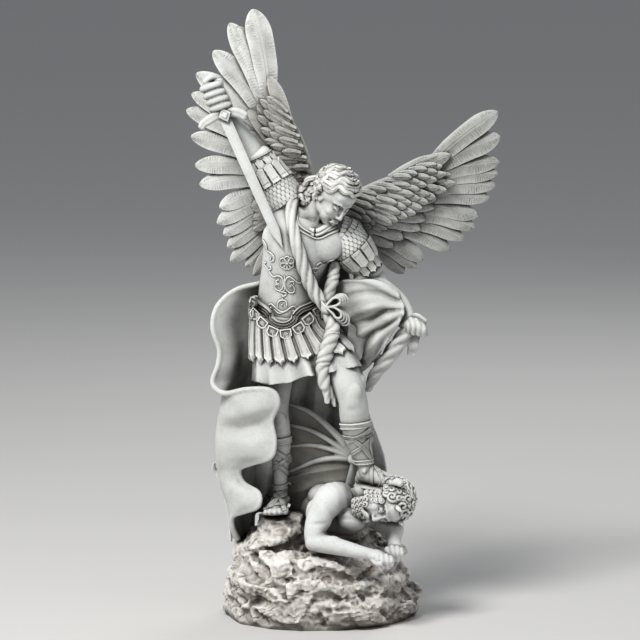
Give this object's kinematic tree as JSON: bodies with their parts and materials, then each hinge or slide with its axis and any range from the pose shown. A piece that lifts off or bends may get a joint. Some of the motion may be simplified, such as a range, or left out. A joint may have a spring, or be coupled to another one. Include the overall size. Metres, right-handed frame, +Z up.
{
  "type": "archangel statue",
  "caption": "Cast stone garden statue of a winged, armoured archangel with raised sword and billowing cape standing over a fallen bat-winged demon on a rock plinth.",
  "frame": {"origin": "centre of the plinth's underside", "axes": "+Z up, +X to the viewer's right as seen from the front, -Y towards the viewer"},
  "size_m": [0.4104, 0.2093, 0.787],
  "materials": {
    "figure_stone": "pale grey stone-powder resin, grey-brown wash left in the hollows, brushed lighter on the edges",
    "wing_stone": "the same pale grey stone-powder resin with a darker wash between the feathers",
    "rock": "rough, warmer grey stone-powder resin with pinkish brown wash and pale worn edges"
  },
  "bodies": {
    "root": {"rock_plinth": "rock", "archangel": "figure_stone", "right_wing": "wing_stone", "left_wing": "wing_stone", "sword": "figure_stone", "fallen_demon": "figure_stone"}
  },
  "joints": []
}
